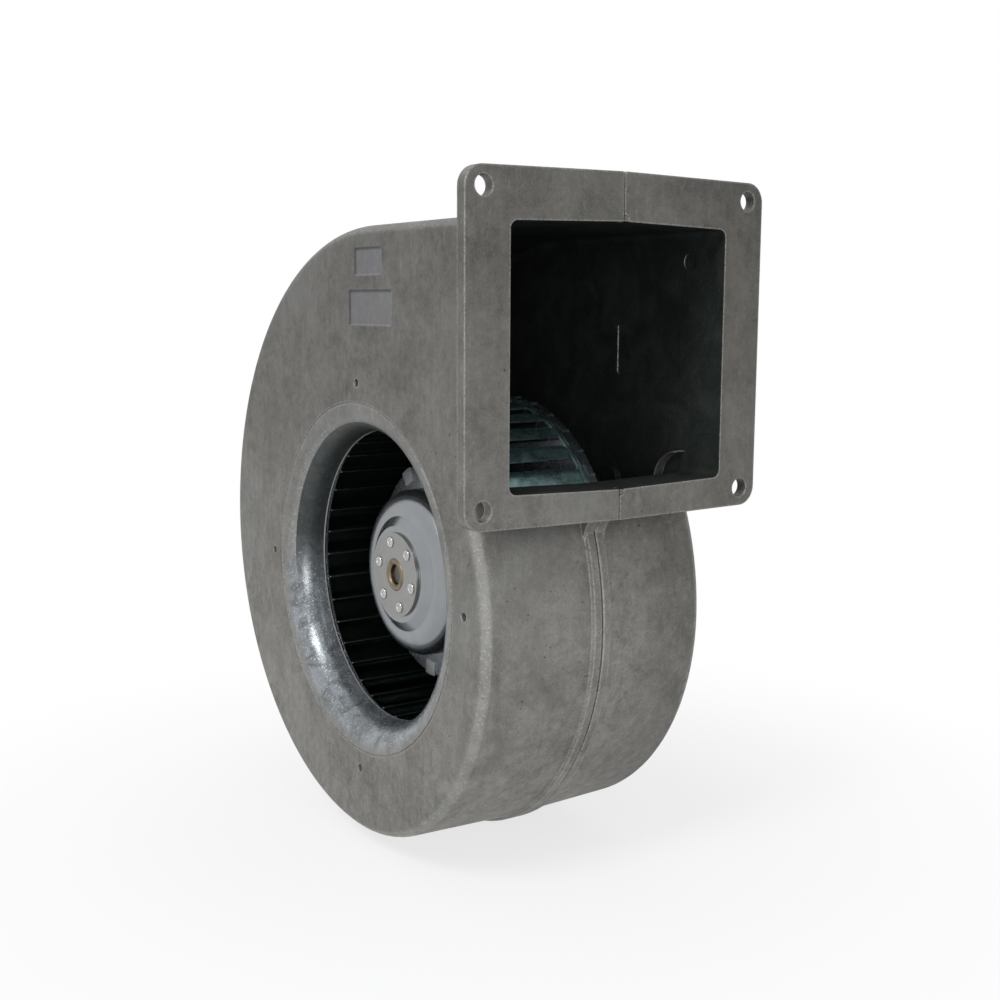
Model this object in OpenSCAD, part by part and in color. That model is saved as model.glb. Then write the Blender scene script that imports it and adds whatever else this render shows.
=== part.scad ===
// Single-inlet centrifugal blower with an external-rotor DC motor.
// Millimetres, +Z up. The air leaves towards -Y and enters towards +X.
// Origin: centre of the outlet flange's front face, on the parting plane of the two housing halves.

/* [Outlet flange] */
// Width of the flange, along the fan axis
flange_w = 129.5; // [122:0.5:140]
// Height of the flange at its side edges
flange_h = 118; // [112:0.5:126]
// Thickness of the flange
flange_t = 4.5; // [4:0.5:7]
// Radius of the flange's corners
flange_corner_r = 7; // [3:0.5:10]
// Rise of the top and bottom edges towards the parting plane
flange_rise = 0.95; // [0.2:0.05:2]
// Diameter of the fixing holes
flange_hole_d = 7; // [5:0.1:8]
// Fixing hole spacing along the fan axis
hole_pitch_w = 115; // [112:0.5:118]
// Fixing hole spacing up and down
hole_pitch_h = 105; // [100:0.5:108]

/* [Scroll] */
// Fan axis behind the front face of the flange
axis_back = 100.6; // [98:0.2:112]
// Fan axis below the centre of the flange
axis_drop = 93.1; // [90:0.2:98]
// Fan axis to the outside of the front wall
scroll_front = 90.2; // [86:0.2:92]
// Fan axis to the outside of the bottom wall
scroll_bottom = 104.5; // [100:0.5:110]
// Fan axis to the outside of the rear wall
scroll_rear = 120; // [114:0.5:126]
// Fan axis to the outside of the top wall
scroll_top = 137.5; // [134:0.5:140]
// Radius of the flatter arc between the front wall and the tongue
throat_arc_r = 111.4; // [105:0.2:125]
// Width of the scroll over its two side faces
scroll_w = 100.7; // [98:0.1:108]
// Thickness of the outer wall
wall = 2.5; // [2:0.1:3.5]
// Thickness of the side faces
face_wall = 3.3; // [2.6:0.1:4.5]
// Radius of the outer edge between wall and side face
edge_r = 5.4; // [4.5:0.1:8]
// Draft angle of the outer wall
draft = 1.5; // [0.5:0.1:2]
// Inside floor of the outlet duct below the centre of the flange
duct_floor = 47.7; // [45:0.1:49]
// Radius of the tongue's nose
nose_r = 5; // [4.5:0.1:7]

/* [Joint of the halves] */
// Width of the raised bead on both sides of the joint
bead_w = 8.3; // [5:0.1:12]
// Height of the bead
bead_h = 1.2; // [0.6:0.1:2]
// Chamfer that forms the groove between the halves
joint_groove = 0.6; // [0.2:0.05:0.8]
// Chamfer of the joint across the front of the flange
flange_groove = 0.3; // [0.1:0.05:0.5]
// Width and depth of the notch in the top edge of the flange at the joint
notch = 1.5; // [0.5:0.1:2.5]
// Width and height of the tongue that locks the halves at the flange
tongue_w = 1.6; // [1:0.1:2.5]
// Width of the web between scroll and flange
web_w = 9.5; // [6:0.5:16]
// Radius of the web's hollow front
web_r = 10.5; // [8:0.5:12]
// Radius of the screw lugs
lug_r = 5.5; // [4.8:0.1:7]
// Length of each lug along the fan axis
lug_l = 8; // [6:0.5:12]
// Nominal diameter of the housing screws
housing_screw_d = 4; // [3:0.5:5]

/* [Inlet] */
// Radius of the inlet throat
inlet_r = 58.5; // [50:0.1:58.8]
// Radius of the bell mouth's curve
bell_r = 11; // [6:0.5:13]
// Thickness of the bell mouth
bell_wall = 2.6; // [2:0.1:3.2]
// Straight lip behind the curve
lip_l = 3.9; // [1:0.1:4.5]
// Fixing hole circle on the inlet face, diameter
guard_pcd = 155.5; // [152:0.5:160]
// Core diameter of the four tapped holes
guard_hole_d = 3.3; // [2.5:0.1:4.2]
// Depth of the four tapped holes
guard_hole_depth = 7; // [5:0.5:10]

/* [Impeller] */
// Outer radius of the impeller, over its ring and plate
impeller_r = 70; // [68:0.5:72]
// Inner radius of the blades
blade_in_r = 59.5; // [59:0.1:61]
// Radius of each blade's curve
blade_curve_r = 11; // [9:0.5:14]
// Number of blades
blades = 37; // [24:1:48]
// Thickness of the blade sheet
blade_t = 0.5; // [0.4:0.05:0.8]
// Thickness of the ring and plate sheet
sheet_t = 0.8; // [0.6:0.05:1]
// Width of the blade ring along the fan axis
impeller_w = 57; // [50:0.5:57.5]
// Gap between inlet lip and impeller
inlet_gap = 1.2; // [0.8:0.1:2]
// Width of the bands that carry the blades
band_w = 4.5; // [3:0.5:8]
// Radius of the back plate's front shoulder
shoulder_r = 44; // [40:0.5:46]
// Depth of the plate's shoulder behind the blades' front edge
shoulder_depth = 18.2; // [16:0.2:24]
// Width of the two balance clips
clip_w = 7; // [4:0.5:10]

/* [Rotor] */
// Front of the rotor cup behind the blades' front edge
rotor_setback = 3.2; // [3:0.1:5]
// Outer radius of the rotor cup
rotor_r = 34; // [33:0.2:36]
// Thickness of the rotor cup
rotor_t = 2; // [1.5:0.1:2.5]
// Length of the rotor cup
rotor_l = 49.6; // [46:0.2:51]
// Radius of the cup's rounded shoulder
rotor_edge_r = 8; // [4:0.5:9]
// Height of the raised middle of the cup
rotor_rise = 2.4; // [1:0.1:3]
// Radius of the raised middle of the cup
rotor_rise_r = 19.5; // [18.5:0.5:22]
// Radius of the riveted hub plate
hub_r = 17.1; // [15.5:0.1:18]
// Thickness of the riveted hub plate
hub_t = 1; // [0.6:0.1:1.5]
// Number of hub rivets
hub_rivets_n = 6; // [3:1:8]
// Radius of the circle of hub rivets
hub_rivet_circle_r = 13.3; // [11:0.1:13.8]
// Head diameter of the hub rivets
hub_rivet_d = 4.6; // [3:0.1:5]
// Outer radius of the bronze bush
bush_r = 6.6; // [5.8:0.1:8]
// Diameter of the shaft
shaft_d = 8; // [7.6:0.1:8.6]

/* [Motor] */
// Outer diameter of the ball bearings
bearing_od = 22; // [20:0.5:24]
// Width of the ball bearings
bearing_w = 7; // [6:0.5:8]
// Number of balls in each bearing
balls = 7; // [6:1:8]
// Radius of each ball
ball_r = 1.95; // [1.5:0.05:2]
// Wall of the bearing tube
tube_wall = 3; // [2.5:0.1:4]
// Outer radius of the stator core
stator_r = 27.5; // [26:0.1:27.6]
// Length of the stator core
stator_l = 25; // [20:0.5:26]
// Number of stator teeth
teeth = 9; // [6:3:9]
// Thickness of the magnet ring
magnet_t = 3.6; // [3:0.1:3.8]
// Length of the magnet ring
magnet_l = 28; // [24:0.5:28]
// Radius of the motor's pot
pot_r = 47.2; // [46:0.1:48]
// Wall of the motor's pot
pot_wall = 2.5; // [2:0.1:3]
// How far the motor's fixing flange reaches past its pot
motor_flange_rim = 12.8; // [11:0.2:15.6]
// Thickness of the motor's fixing flange
motor_flange_t = 4; // [3:0.5:4]
// Thickness of the motor cover
cover_t = 2.5; // [2:0.1:3]
// How far the motor cover reaches past the pot
cover_rim = 2.3; // [1.9:0.1:2.8]
// Thickness of the cover gasket
gasket_t = 1; // [0.6:0.1:1.4]

/* [Fits] */
// Radial clearance of parts pushed into each other
fit = 0.04; // [0.02:0.01:0.06]
// Gap between parts that lie on each other
seat = 0.05; // [0.02:0.01:0.2]

/* [Hidden] */
$fn = 96;
eps = 0.01;

// Rounded to a micrometre, so that sections drawn from different centres meet exactly
function q(v) = round(v * 1000) / 1000;

half_w = scroll_w / 2;
wall_c = q(wall / cos(draft));

// Centres of the scroll's arcs, measured from the fan axis; neighbouring arcs are tangent
front_shift = 5.1;
front_arc_r = scroll_front + front_shift;
front_centre = [front_shift, front_arc_r - scroll_bottom];
rear_arc_r = scroll_rear - front_shift;
rear_centre = [front_shift, front_centre[1] + rear_arc_r - front_arc_r];
top_arc_r = scroll_top - rear_centre[1];
top_centre = [front_shift - (top_arc_r - rear_arc_r), rear_centre[1]];
throat_centre = [throat_arc_r - scroll_front, front_centre[1]];

// Places in the part's own frame
axis_y = axis_back;
axis_z = -axis_drop;
front_y = axis_y + front_centre[0];
front_z = axis_z + front_centre[1];
top_y = axis_y + top_centre[0];
top_z = axis_z + top_centre[1];
throat_y = axis_y + throat_centre[0];
throat_z = axis_z + throat_centre[1];

// Nose of the tongue: tangent to the duct's floor and to the throat arc
nose_z = -duct_floor - nose_r;
nose_reach = throat_arc_r - wall_c + nose_r;
nose_angle = q(asin((nose_z - throat_z) / nose_reach));
nose_y = q(throat_y - nose_reach * cos(nose_angle));
plate_in_r = 30;

// Stations along the fan axis, from the inlet to the motor side
bell_seat_r = inlet_r + bell_r;
lip_x = -half_w + bell_r + lip_l;
impeller_x = lip_x + inlet_gap + sheet_t + seat;
impeller_end_x = impeller_x + impeller_w;
strip_r = impeller_r - sheet_t - seat;
strip_t = 1.2;
band_lip = 0.4;
rim_w = 4;
shoulder_x = impeller_x + shoulder_depth;
rotor_x = impeller_x + rotor_setback;
rotor_end_x = rotor_x + rotor_l;
hub_x = rotor_x - rotor_rise;
hub_front_x = hub_x - seat - hub_t;
bush_x = hub_front_x - 0.3;
pot_x = impeller_end_x + seat + sheet_t + 1.5;
pot_floor_t = 2.5;
pot_floor_x = pot_x + pot_floor_t;
motor_face_x = half_w + seat;
flange_out_x = motor_face_x + motor_flange_t;
cover_x = flange_out_x + gasket_t + 2 * seat;
cover_out_x = cover_x + cover_t;

// Shaft and bearings
shaft_r = shaft_d / 2;
bearing_r = bearing_od / 2;
pitch_r = (bearing_r + shaft_r) / 2;
race_t = (bearing_r - shaft_r) * 0.33;
race_gap = 0.06;
tube_r = bearing_r + tube_wall;
tube_x = rotor_x + rotor_t + 4;
front_bearing_x = tube_x + 1;
front_seat_end_x = front_bearing_x + bearing_w + seat;
rear_bearing_x = pot_floor_x - bearing_w - 1.6;
washer_t = 0.9;
rear_seat_x = rear_bearing_x - washer_t - 2 * seat;
clip_t = 0.9;
clip_x = rear_bearing_x + bearing_w + seat;
shaft_x = bush_x + 1.6;
shaft_end_x = clip_x + clip_t + 1.5;

// Motor
magnet_r = rotor_r - rotor_t - fit;
magnet_x = rotor_end_x - 4.5 - magnet_l;
stator_x = magnet_x + (magnet_l - stator_l) / 2;
stator_end_x = stator_x + stator_l;
yoke_r = tube_r + 4;
tooth_w = 5;
shoe_t = 2;
slot_open = 3;
insulator_t = 1.2;
coil_t = 2;
coil_head = 4;
coil_end_x = stator_end_x + insulator_t + coil_head + 0.15;
hall_x = coil_end_x + 1.7;
hall_t = 1.2;
hall_r = rotor_r - rotor_t - 1.5;
pin_circle_r = 22;
pin_r = 0.7;
board_x = pot_floor_x + 8.5;
board_t = 1.6;
board_out_x = board_x + board_t;
cover_screw_r = pot_r - pot_wall - 3.2;
boss_r = 3.6;
board_r = cover_screw_r - boss_r - 0.4;
post_circle_r = board_r - 4.5;
motor_bore_r = pot_r + 0.3;
motor_flange_r = pot_r + motor_flange_rim;
cover_r = pot_r + cover_rim;
motor_screw_circle_r = cover_r + 5;
small_screw_r = 1.5;
// Radius and height of the heads of the screws
board_head = [2.8, 1.8];
cover_head = [2.9, 2];
motor_head = [3.5, 2.6];
// Radius and height of a capacitor
capacitor = [6.2, 12.5];
grommet_circle_r = 26;
grommet_r = 5;

// Screw lugs around the scroll: [centre y, centre z, radius, angle] of the wall they stand on
lugs = [
  [front_y, top_z, rear_arc_r, 285], [front_y, top_z, rear_arc_r, 325],
  [top_y, top_z, top_arc_r, 8], [top_y, top_z, top_arc_r, 55], [flange_t + 29, top_z, top_arc_r, 90]
];
lug_reach = 0.8 * lug_r;

// Bare recesses for a plate: [y, z, width, height] of their centre
face_recesses = [[90.6, 31, 21, 10], [89.3, 13.6, 33, 13]];
inner_recess = [42, -2.5, 37, 20];
recess_depth = 0.4;
// Ejector mark on the inside of the motor wall: y, z, radius, depth
ejector_mark = [18.7, 31.1, 3.2, 0.3];

cast = [0.47, 0.46, 0.44];
sheet = [0.66, 0.70, 0.73];
steel = [0.75, 0.76, 0.77];
zinc = [0.80, 0.81, 0.82];
bronze = [0.50, 0.38, 0.22];
copper = [0.72, 0.40, 0.20];
dark = [0.15, 0.15, 0.16];
green = [0.10, 0.35, 0.20];

// ---------- helpers ----------
function wall_line(r, x) = r + q((x + half_w) * tan(draft));

// Turns a drawing in (Y, Z) with its height along X into place
module yz_up() rotate([90, 0, 90]) children();
// The same, moved to the fan axis; revolved drawings are (radius, x)
module on_axis() translate([0, axis_y, axis_z]) yz_up() children();
// Extrudes a drawing in (Z, X) along Y
module along_y() rotate(-120, [1, 1, 1]) children();
// Extrudes a drawing in (X, Z) from y = 0 to y = depth
module xz_deep(depth) translate([0, depth, 0]) rotate([90, 0, 0]) linear_extrude(depth) children();

module revolve_at(y, z, from, sweep)
  translate([0, y, z]) yz_up() rotate_extrude(angle = sweep, start = from) children();

// Ring about the fan axis from x0 to x1
module ring(r_out, r_in, x0, x1)
  on_axis() rotate_extrude() translate([r_in, x0]) square([r_out - r_in, x1 - x0]);

module disc(r, x0, x1)
  on_axis() translate([0, 0, x0]) cylinder(r = r, h = x1 - x0);

// Copies around the fan axis, each at radius r
module around(n, r, first = 0)
  for (i = [0 : n - 1])
    on_axis() rotate(first + i * 360 / n) translate([r, 0, 0]) children();

// Cylinders around the fan axis
module pins(n, r, first, pin_r, x0, x1)
  around(n, r, first) translate([0, 0, x0]) cylinder(r = pin_r, h = x1 - x0, $fn = 32);

// ---------- housing ----------
// Cross-section of the scroll up to a drafted wall, rounded where the wall meets the side face.
// dist is the distance from the arc's centre, inner its start; out is +1 where the wall is outermost.
module wall_region(r, x0, rad, inner, x1) {
  xc = x0 + rad;
  rc = wall_line(r, xc) - q(rad / cos(draft));
  polygon([
    [inner, x0], [rc, x0],
    [rc + q(rad * cos(draft)), xc - q(rad * sin(draft))],
    [wall_line(r, x1), x1], [inner, x1]
  ]);
  translate([rc, xc]) circle(rad);
}

module wall_section(r, inner, bead = true) {
  difference() {
    wall_region(r, -half_w, edge_r, inner, 0);
    wall_region(r - wall_c, -half_w + face_wall, edge_r - wall, inner - 1, 1);
  }
  if (bead) {
    rb = wall_line(r, 0);
    polygon([
      [rb - wall / 2, -bead_w / 2], [rb, -bead_w / 2],
      [rb + bead_h, -bead_w / 2 + bead_h / 2], [rb + bead_h, -joint_groove],
      [rb + bead_h - joint_groove, 0], [rb - wall / 2, 0]
    ]);
  }
}

// Side face between the arcs, in (Y, Z)
module side_plate()
  polygon([
    [nose_y + nose_r, front_z], [front_y, front_z], [front_y, top_z], [top_y, top_z],
    [top_y, 0], [nose_y, 0], [nose_y, -duct_floor], [nose_y + nose_r, -duct_floor]
  ]);

module flange_half() {
  hw = flange_w / 2;
  hh = flange_h / 2;
  r = flange_corner_r;
  tilt = atan(flange_rise / hw);
  zc = hh + r * tan(tilt) - r / cos(tilt);
  polygon([
    [0, hh + flange_rise], [-hw + r - r * sin(tilt), zc + r * cos(tilt)], [-hw, zc],
    [-hw, -zc], [-hw + r - r * sin(tilt), -zc - r * cos(tilt)], [0, -hh - flange_rise]
  ]);
  for (s = [-1, 1]) translate([-hw + r, s * zc]) circle(r);
}

// Clear section of the duct, in (X, Z)
module duct_opening() {
  rad = edge_r - wall;
  x0 = -half_w + face_wall;
  up = scroll_top + axis_z - wall_c;
  xc = x0 + rad;
  zt = wall_line(up, xc) - q(rad / cos(draft));
  zb = wall_line(duct_floor, xc) - q(rad / cos(draft));
  dx = q(rad * sin(draft));
  dz = q(rad * cos(draft));
  polygon([
    [x0, zt], [xc - dx, zt + dz], [1, wall_line(up, 1)],
    [1, -wall_line(duct_floor, 1)], [xc - dx, -zb - dz], [x0, -zb]
  ]);
  translate([xc, zt]) circle(rad);
  translate([xc, -zb]) circle(rad);
}

// One half of the scroll, from its side face to the parting plane
module scroll_half() {
  revolve_at(front_y, front_z, 180, 90) wall_section(front_arc_r, plate_in_r);
  revolve_at(front_y, top_z, 270, 90) wall_section(rear_arc_r, plate_in_r);
  revolve_at(top_y, top_z, 0, 90) wall_section(top_arc_r, plate_in_r);
  revolve_at(throat_y, throat_z, 180 - nose_angle, nose_angle) wall_section(throat_arc_r, plate_in_r);
  // tongue: the same section turned inside out around the nose
  revolve_at(nose_y, nose_z, -nose_angle, 90 + nose_angle)
    translate([nose_r, 0]) mirror([1, 0]) translate([wall_c, 0]) wall_section(0, -9, false);
  // top wall and floor of the duct
  translate([0, 0, top_z]) along_y() linear_extrude(top_y) wall_section(top_arc_r, -top_z);
  along_y() linear_extrude(nose_y) mirror([1, 0]) wall_section(duct_floor + wall_c, 0, false);
  translate([-half_w, 0, 0]) yz_up() linear_extrude(face_wall) side_plate();
  xz_deep(flange_t) difference() {
    flange_half();
    duct_opening();
  }
}

// Web that carries the bead from the scroll to the flange, grooved along the joint
module web() {
  web_half(-web_w / 2, -joint_groove, web_r);
  web_half(-joint_groove, 0, web_r + joint_groove);
}

module web_half(x0, x1, r) {
  hollow_y = flange_t - 0.8;
  hollow_z = -flange_h / 2 - web_r;
  translate([x0, 0, 0]) yz_up() linear_extrude(x1 - x0) difference() {
    translate([flange_t / 2, hollow_z])
      square([nose_y + nose_r / 2 - flange_t / 2, -duct_floor - wall - hollow_z]);
    translate([hollow_y, hollow_z]) circle(r);
    translate([0, hollow_z - 1]) square([hollow_y, r + 1]);
    translate([throat_y, throat_z]) circle(throat_arc_r);
  }
}

// What the joint takes off the flange: a chamfer along its front and a notch in its top edge
module joint_relief() {
  top = flange_h / 2 + flange_rise;
  translate([0, 0, -flange_h]) linear_extrude(2 * flange_h)
    polygon([[-flange_groove - 1, -1], [1, -1], [1, flange_groove + 1]]);
  translate([0, -1, 0]) xz_deep(flange_t + 2)
    polygon([[0.5, top - notch - 1], [-notch / 2 - 0.5, top + 1], [1, top + 1], [1, top - notch - 1]]);
}

// Tongue of the inlet half in the motor half, at both ends of the joint; play widens it to its groove
module joint_tongues(play) {
  w = tongue_w + play;
  h = tongue_w + 0.2 + play;
  r = tongue_w / 2;
  low = play > 0 ? -2 : 0.1;
  for (end = [0, 1])
    translate([0, play > 0 ? -1 : 0, 0]) xz_deep(flange_t - 0.5 + (play > 0 ? 1 : 0))
      mirror([0, end]) translate([0, wall_line(end == 0 ? scroll_top + axis_z - wall_c : duct_floor, 0)]) {
        translate([-0.5, low]) square([w + 0.5 - r, h - low]);
        translate([-0.5, low]) square([w + 0.5, h - r - low]);
        translate([w - r, h - r]) circle(r);
      }
}

// Places children on every screw lug, X outwards and Z along the fan axis
module at_lugs()
  for (l = lugs)
    translate([0, l[0], l[1]]) yz_up() rotate(l[3]) translate([wall_line(l[2], 0) + lug_reach, 0, 0]) children();

module lug_bodies(x0)
  at_lugs() translate([0, 0, x0]) linear_extrude(lug_l) {
    circle(lug_r);
    translate([-lug_reach - wall / 2, -lug_r]) square([lug_reach + wall / 2, 2 * lug_r]);
  }

module rounded_rect(w, h, r) {
  translate([-w / 2 + r, -h / 2]) square([w - 2 * r, h]);
  translate([-w / 2, -h / 2 + r]) square([w, h - 2 * r]);
  for (a = [-1, 1], b = [-1, 1]) translate([a * (w / 2 - r), b * (h / 2 - r)]) circle(r);
}

module plate_recess(p, x0)
  translate([x0, p[0], p[1]]) yz_up() linear_extrude(recess_depth + 1) rounded_rect(p[2], p[3], 1.5);

module flange_holes(side)
  for (s = [-1, 1])
    translate([side * hole_pitch_w / 2, -1, s * hole_pitch_h / 2])
      rotate([-90, 0, 0]) cylinder(d = flange_hole_d, h = flange_t + 2);

// Convex inlet nozzle with its lip, in (radius, x)
module bell_mouth()
  on_axis() rotate_extrude() {
    translate([bell_seat_r, -half_w + bell_r]) intersection() {
      difference() {
        circle(bell_r);
        circle(bell_r - bell_wall);
      }
      translate([-bell_r, -bell_r]) square(bell_r);
    }
    translate([inlet_r, -half_w + bell_r]) square([bell_wall, lip_l]);
    translate([bell_seat_r, -half_w]) square([4, face_wall]);
  }

module housing_inlet_half() color(cast) difference() {
  union() {
    difference() {
      scroll_half();
      disc(bell_seat_r + 1.5, -half_w - 1, 0);
      joint_relief();
    }
    joint_tongues(0);
    bell_mouth();
    web();
    lug_bodies(-lug_l);
    pins(4, guard_pcd / 2, 0, 4.5, -half_w + 1, -half_w + guard_hole_depth + 1.5);
  }
  // line around the nozzle
  ring(bell_seat_r + 0.9, bell_seat_r + 0.1, -half_w - 1, -half_w + 0.4);
  pins(4, guard_pcd / 2, 0, guard_hole_d / 2, -half_w - 1, -half_w + guard_hole_depth);
  flange_holes(-1);
  for (p = face_recesses) plate_recess(p, -half_w - 1);
  at_lugs() translate([0, 0, -lug_l + 1.5]) cylinder(d = housing_screw_d + 2 * fit, h = lug_l, $fn = 32);
}

module housing_motor_half() color(cast) difference() {
  union() {
    mirror([1, 0, 0]) {
      difference() {
        scroll_half();
        joint_relief();
      }
      web();
    }
    lug_bodies(0);
    pins(4, motor_screw_circle_r, 45, 4.5, half_w - 5.5, half_w - 1);
  }
  disc(motor_bore_r, 0, half_w + 1);
  pins(4, motor_screw_circle_r, 45, 2 + fit, half_w - 4.3, half_w + 1);
  joint_tongues(0.25);
  flange_holes(1);
  plate_recess(inner_recess, half_w - face_wall - 1);
  translate([half_w - face_wall - 1, ejector_mark[0], ejector_mark[1]])
    yz_up() cylinder(r = ejector_mark[2], h = 1 + ejector_mark[3]);
  at_lugs() translate([0, 0, -1]) cylinder(d = housing_screw_d + 0.4, h = lug_l + 2, $fn = 32);
}

// Pan-head screw along Z: the head stands on z = 0 and the shank goes down
module screw(shank_r, shank_l, head_r, head_h) {
  cylinder(r = head_r, h = head_h, $fn = 48);
  translate([0, 0, -shank_l]) cylinder(r = shank_r, h = shank_l + eps, $fn = 32);
}

module housing_screws() color(zinc)
  at_lugs() translate([0, 0, lug_l + seat])
    screw(housing_screw_d / 2, 2 * lug_l - 2.5, housing_screw_d * 0.9, housing_screw_d * 0.65);

// ---------- impeller ----------
// Curved blades, stepped at both ends so that the bands lie over them
module impeller_blades() color(sheet) {
  tip_r = strip_r - strip_t / 2;
  reach = norm([blade_in_r, blade_curve_r]);
  turn = acos((reach * reach + blade_curve_r * blade_curve_r - tip_r * tip_r) / (2 * reach * blade_curve_r));
  sweep = atan(blade_curve_r / blade_in_r) + turn - 90;
  step_r = strip_r - strip_t - seat;
  difference() {
    union()
      for (i = [0 : blades - 1])
        on_axis() rotate(i * 360 / blades - 0.9) translate([blade_in_r, blade_curve_r, impeller_x + band_lip])
          rotate_extrude(angle = sweep, start = 270)
            translate([blade_curve_r - blade_t / 2, 0]) square([blade_t, impeller_w - 2 * band_lip]);
    ring(strip_r + 1, step_r, impeller_x - 1, impeller_x + band_w + seat);
    ring(strip_r + 1, step_r, impeller_end_x - band_w - seat, impeller_end_x + 1);
  }
}

module blade_bands() color(sheet)
  for (x = [impeller_x, impeller_end_x - band_w]) ring(strip_r, strip_r - strip_t, x, x + band_w);

module impeller_front_ring() color(sheet) {
  front = impeller_x - seat - sheet_t;
  ring(impeller_r, inlet_r + 1.2, front, front + sheet_t);
  ring(impeller_r, impeller_r - sheet_t, front, impeller_x + rim_w);
}

// Deep-drawn plate: rim around the blades, sleeve over the motor, shoulder and collar on the rotor cup
module impeller_back_plate() color(sheet) {
  back = impeller_end_x + seat;
  collar_r = rotor_r + fit;
  ring(impeller_r, impeller_r - sheet_t, impeller_end_x - rim_w, back + sheet_t);
  ring(impeller_r, shoulder_r - sheet_t, back, back + sheet_t);
  ring(shoulder_r, shoulder_r - sheet_t, shoulder_x, back + sheet_t);
  ring(shoulder_r, collar_r, shoulder_x, shoulder_x + sheet_t);
  ring(collar_r + sheet_t, collar_r, shoulder_x, shoulder_x + 7);
}

module balance_clips() color(zinc)
  for (a = [61, -87]) {
    half_angle = asin(clip_w / 2 / shoulder_r);
    revolve_at(axis_y, axis_z, a - half_angle, 2 * half_angle)
      polygon([
        [shoulder_r - 5, shoulder_x - seat], [shoulder_r - 5, shoulder_x - seat - 0.6],
        [shoulder_r + seat + 0.6, shoulder_x - seat - 0.6], [shoulder_r + seat + 0.6, shoulder_x + 5],
        [shoulder_r + seat, shoulder_x + 5], [shoulder_r + seat, shoulder_x - seat]
      ]);
  }

// ---------- rotor ----------
// Outline of the cup up to its skin, in (radius, x); inset moves it inwards by the sheet's thickness
module cup_region(inset, end) {
  r = rotor_edge_r - inset;
  rc = rotor_r - rotor_edge_r;
  xc = rotor_x + rotor_edge_r;
  polygon([
    [0, hub_x + inset], [rotor_rise_r - inset / 2, hub_x + inset],
    [rotor_rise_r + 4 - inset / 2, rotor_x + inset], [rc, xc - r], [rc + r, xc], [rc + r, end], [0, end]
  ]);
  translate([rc, xc]) circle(r);
}

module rotor_cup() color(steel) difference() {
  on_axis() rotate_extrude() difference() {
    cup_region(0, rotor_end_x);
    cup_region(rotor_t, rotor_end_x + 1);
  }
  disc(bush_r + fit, hub_x - 1, rotor_x + rotor_t + 1);
  pins(hub_rivets_n, hub_rivet_circle_r, 15, 1.25, hub_x - 1, rotor_x + rotor_t + 1);
}

module rotor_magnet() color(dark) ring(magnet_r, magnet_r - magnet_t, magnet_x, magnet_x + magnet_l);

module rotor_hub_plate() color(zinc) difference() {
  ring(hub_r, bush_r + fit, hub_front_x, hub_x - seat);
  pins(hub_rivets_n, hub_rivet_circle_r, 15, 1.25, hub_front_x - 1, hub_x);
}

module hub_rivets() color(zinc) difference() {
  union() {
    pins(hub_rivets_n, hub_rivet_circle_r, 15, hub_rivet_d / 2, hub_front_x - seat - 0.6, hub_front_x - seat);
    pins(hub_rivets_n, hub_rivet_circle_r, 15, 1.2, hub_front_x - seat - eps, hub_x + rotor_t + seat + eps);
    pins(hub_rivets_n, hub_rivet_circle_r, 15, 2, hub_x + rotor_t + seat, hub_x + rotor_t + seat + 0.8);
  }
  // punched middle of each head
  pins(hub_rivets_n, hub_rivet_circle_r, 15, hub_rivet_d / 4, hub_front_x - 2, hub_front_x - seat - 0.2);
}

module shaft_bush() color(bronze) on_axis() rotate_extrude() {
  in_r = shaft_r + fit;
  end = front_bearing_x - seat;
  polygon([
    [in_r + 0.6, bush_x], [bush_r - 0.3, bush_x], [bush_r, bush_x + 0.3], [bush_r, end],
    [in_r, end], [in_r, bush_x + 0.6]
  ]);
}

module rotor_shaft() color(steel) on_axis() rotate_extrude() {
  groove_r = shaft_r - 0.4;
  polygon([
    [0, shaft_x], [shaft_r - 0.5, shaft_x], [shaft_r, shaft_x + 0.5], [shaft_r, clip_x - 0.02],
    [groove_r, clip_x - 0.02], [groove_r, clip_x + clip_t + 0.02], [shaft_r, clip_x + clip_t + 0.02],
    [shaft_r, shaft_end_x - 0.5], [shaft_r - 0.5, shaft_end_x], [0, shaft_end_x]
  ]);
}

module retaining_ring() color(steel)
  revolve_at(axis_y, axis_z, 30, 300)
    translate([shaft_r - 0.35, clip_x]) square([2.6, clip_t]);

// ---------- ball bearings; x is the front of the bearing ----------
module race(x, in_r, out_r) color(steel)
  on_axis() rotate_extrude() difference() {
    translate([in_r, x]) square([out_r - in_r, bearing_w]);
    translate([pitch_r, x + bearing_w / 2]) circle(ball_r + race_gap);
  }

module balls_at(x, r) color(steel)
  around(balls, pitch_r) translate([0, 0, x + bearing_w / 2]) sphere(r, $fn = 32);

module cage(x) color(bronze) difference() {
  ring(pitch_r + 0.6, pitch_r - 0.6, x + bearing_w / 2 - 2.4, x + bearing_w / 2 + 2.4);
  around(balls, pitch_r) translate([0, 0, x + bearing_w / 2])
    rotate([0, 90, 0]) cylinder(r = ball_r + 0.1, h = 3, center = true, $fn = 32);
}

module front_bearing_outer_ring() race(front_bearing_x, bearing_r - race_t, bearing_r);
module front_bearing_inner_ring() race(front_bearing_x, shaft_r + fit, shaft_r + race_t);
module front_bearing_cage() cage(front_bearing_x);
module front_bearing_balls() balls_at(front_bearing_x, ball_r);
module rear_bearing_outer_ring() race(rear_bearing_x, bearing_r - race_t, bearing_r);
module rear_bearing_inner_ring() race(rear_bearing_x, shaft_r + fit, shaft_r + race_t);
module rear_bearing_cage() cage(rear_bearing_x);
module rear_bearing_balls() balls_at(rear_bearing_x, ball_r);

module preload_washer() color(steel)
  revolve_at(axis_y, axis_z, 10, 340)
    translate([bearing_r - race_t, rear_seat_x + seat]) square([race_t - 0.3, washer_t]);

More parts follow.
